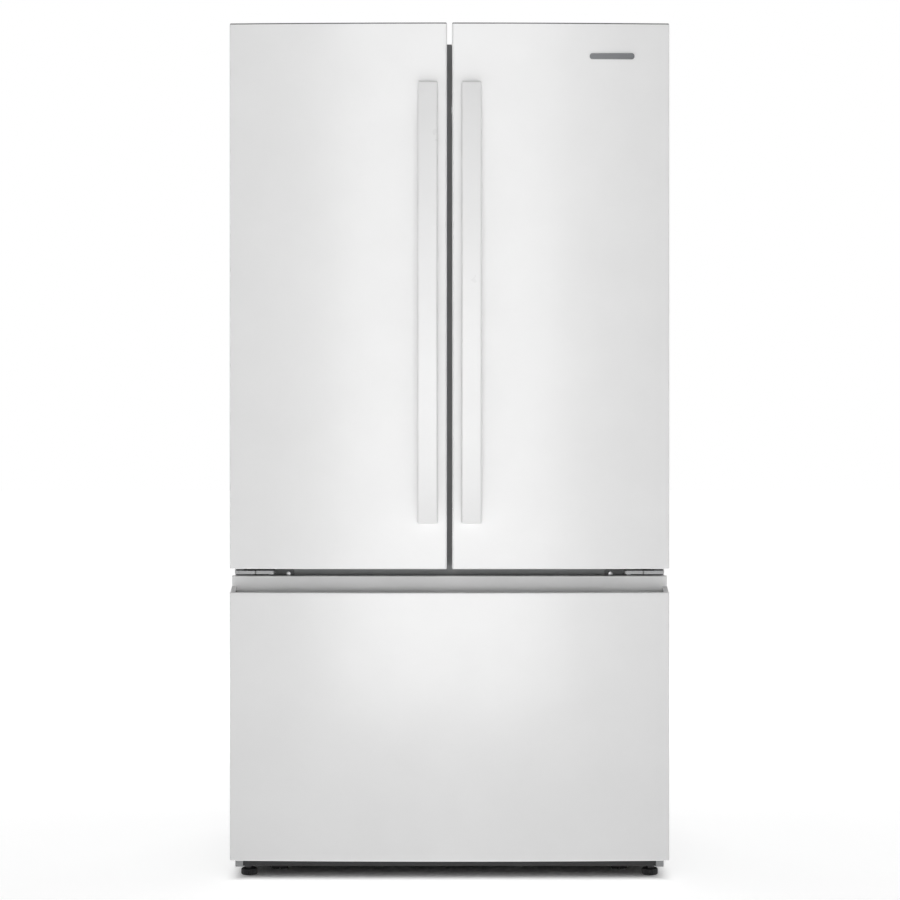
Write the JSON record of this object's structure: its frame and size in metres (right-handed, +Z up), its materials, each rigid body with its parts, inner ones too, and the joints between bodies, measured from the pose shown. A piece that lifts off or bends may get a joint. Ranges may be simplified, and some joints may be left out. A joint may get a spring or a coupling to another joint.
{
  "type": "french door refrigerator",
  "caption": "White french door refrigerator: side-by-side bowed doors with upright bow handles over a wide bottom freezer drawer with a pocket pull along its top.",
  "frame": {"origin": "on the floor, under the middle of the bounding box", "axes": "+Z up; the doors and the drawer face -Y; +X to the right of a person who stands in front"},
  "size_m": [0.908, 0.854, 1.776],
  "materials": {
    "white_enamel": "smooth gloss white enamel",
    "white_trim": "gloss white moulding",
    "white_handle": "gloss white enamel",
    "cabinet_grey": "textured grey enamel",
    "galvanized": "plain galvanized sheet",
    "hinge_steel": "zinc plated",
    "black_frame": "satin black",
    "black_plastic": "fine-textured black",
    "cap_plastic": "satin dark grey",
    "mullion_grey": "satin dark grey",
    "gasket_rubber": "soft grey vinyl",
    "liner_white": "smooth white liner",
    "foam": "rigid insulation foam",
    "clear_plastic": "clear moulding",
    "basket_plastic": "white moulding",
    "shelf_glass": "clear tempered glass",
    "track_steel": "white enamel",
    "badge_metal": "brushed dark plate",
    "button_grey": "satin grey",
    "lens_frost": "frosted diffuser",
    "coil_aluminium": "thin pressed fins"
  },
  "bodies": {
    "cabinet": {"cabinet_shell": "cabinet_grey", "back_panel": "galvanized", "machine_cover": "galvanized", "cabinet_foam": "foam", "fridge_liner": "liner_white", "freezer_liner": "liner_white", "center_rail": "cabinet_grey", "base_frame": "black_frame", "top_hinges": "hinge_steel", "center_hinges": "hinge_steel", "hinge_screws": "hinge_steel", "hinge_covers": "cap_plastic", "drawer_rails_outer": "galvanized", "shelf_frames": "basket_plastic", "glass_panes": "shelf_glass", "shelf_tracks": "track_steel", "control_panel": "liner_white", "light_lens": "lens_frost", "compressor": "black_frame", "condenser_coil": "coil_aluminium", "evaporator": "coil_aluminium", "evaporator_cover": "liner_white", "fan_motors": "black_plastic"},
    "left_door": {"left_door_skin": "white_enamel", "left_door_caps": "cap_plastic", "left_door_foam": "foam", "left_door_liner": "liner_white", "left_door_gasket": "gasket_rubber", "left_door_handle": "white_handle", "left_door_bins": "clear_plastic", "left_door_edge_trim": "cap_plastic"},
    "mullion": {"mullion_bar": "mullion_grey"},
    "right_door": {"right_door_skin": "white_enamel", "right_door_caps": "cap_plastic", "right_door_foam": "foam", "right_door_liner": "liner_white", "right_door_gasket": "gasket_rubber", "right_door_handle": "white_handle", "right_door_bins": "clear_plastic", "badge_plate": "badge_metal"},
    "dairy_cover": {"dairy_lid": "clear_plastic"},
    "freezer_drawer": {"freezer_drawer_skin": "white_enamel", "freezer_drawer_pull": "white_trim", "freezer_drawer_foam": "foam", "freezer_drawer_liner": "liner_white", "freezer_drawer_gasket": "gasket_rubber", "freezer_basket": "basket_plastic", "drawer_rails_inner": "galvanized"},
    "middle_rails": {"drawer_rails_middle": "galvanized"},
    "upper_freezer_basket": {"upper_basket": "basket_plastic"},
    "left_crisper_drawer": {"left_crisper": "clear_plastic"},
    "right_crisper_drawer": {"right_crisper": "clear_plastic"},
    "deli": {"deli_drawer": "clear_plastic"},
    "button": {"temperature_button": "button_grey"},
    "left_levelling_foot": {"left_foot": "black_plastic"},
    "right_levelling_foot": {"right_foot": "black_plastic"},
    "front_wheels": {"front_rollers": "black_plastic"},
    "rear_wheels": {"rear_rollers": "black_plastic"},
    "condenser_fan": {"condenser_fan_blade": "black_plastic"},
    "evaporator_fan": {"evaporator_fan_blade": "black_plastic"}
  },
  "joints": [
    {"name": "left_door_hinge", "type": "hinge", "parent": "cabinet", "child": "left_door", "pos_m": [-0.432, -0.333, 1.2], "axis": [0, 0, -1], "range_deg": [0, 115]},
    {"name": "mullion_flip", "type": "hinge", "parent": "left_door", "child": "mullion", "pos_m": [-0.0241, -0.2756, 1.2], "axis": [0, 0, -1], "range_deg": [0, 90]},
    {"name": "right_door_hinge", "type": "hinge", "parent": "cabinet", "child": "right_door", "pos_m": [0.432, -0.333, 1.2], "axis": [0, 0, 1], "range_deg": [0, 115]},
    {"name": "dairy_lid_hinge", "type": "hinge", "parent": "right_door", "child": "dairy_cover", "pos_m": [0.225, -0.289, 1.56], "axis": [1, 0, 0], "range_deg": [0, 80]},
    {"name": "freezer_drawer_slide", "type": "slide", "parent": "cabinet", "child": "freezer_drawer", "axis": [0, -1, 0], "range_m": [0, 0.4]},
    {"name": "middle_rail_slide", "type": "slide", "parent": "cabinet", "child": "middle_rails", "axis": [0, -1, 0], "range_m": [0, 0.2]},
    {"name": "upper_basket_slide", "type": "slide", "parent": "cabinet", "child": "upper_freezer_basket", "axis": [0, -1, 0], "range_m": [0, 0.095]},
    {"name": "left_crisper_slide", "type": "slide", "parent": "cabinet", "child": "left_crisper_drawer", "axis": [0, -1, 0], "range_m": [0, 0.095]},
    {"name": "right_crisper_slide", "type": "slide", "parent": "cabinet", "child": "right_crisper_drawer", "axis": [0, -1, 0], "range_m": [0, 0.095]},
    {"name": "deli_drawer_slide", "type": "slide", "parent": "cabinet", "child": "deli", "axis": [0, -1, 0], "range_m": [0, 0.095]},
    {"name": "temperature_button_press", "type": "slide", "parent": "cabinet", "child": "button", "axis": [0, 1, 0], "range_m": [0, 0.0008], "stiffness_N_per_m": 400, "springref_m": -0.001},
    {"name": "left_foot_turn", "type": "hinge", "parent": "cabinet", "child": "left_levelling_foot", "pos_m": [-0.423, -0.259, 0], "axis": [0, 0, 1], "continuous": true},
    {"name": "right_foot_turn", "type": "hinge", "parent": "cabinet", "child": "right_levelling_foot", "pos_m": [0.423, -0.259, 0], "axis": [0, 0, 1], "continuous": true},
    {"name": "front_roller_spin", "type": "hinge", "parent": "cabinet", "child": "front_wheels", "pos_m": [0, -0.211, 0.019], "axis": [1, 0, 0], "continuous": true},
    {"name": "rear_roller_spin", "type": "hinge", "parent": "cabinet", "child": "rear_wheels", "pos_m": [0, 0.389, 0.02], "axis": [1, 0, 0], "continuous": true},
    {"name": "condenser_fan_spin", "type": "hinge", "parent": "cabinet", "child": "condenser_fan", "pos_m": [0.04, 0.3085, 0.14125], "axis": [1, 0, 0], "continuous": true},
    {"name": "evaporator_fan_spin", "type": "hinge", "parent": "cabinet", "child": "evaporator_fan", "pos_m": [0, 0.321, 0.492], "axis": [0, -1, 0], "continuous": true}
  ],
  "couplings": [
    {"joint": "middle_rail_slide", "follows": "freezer_drawer_slide", "ratio": 0.5}
  ]
}
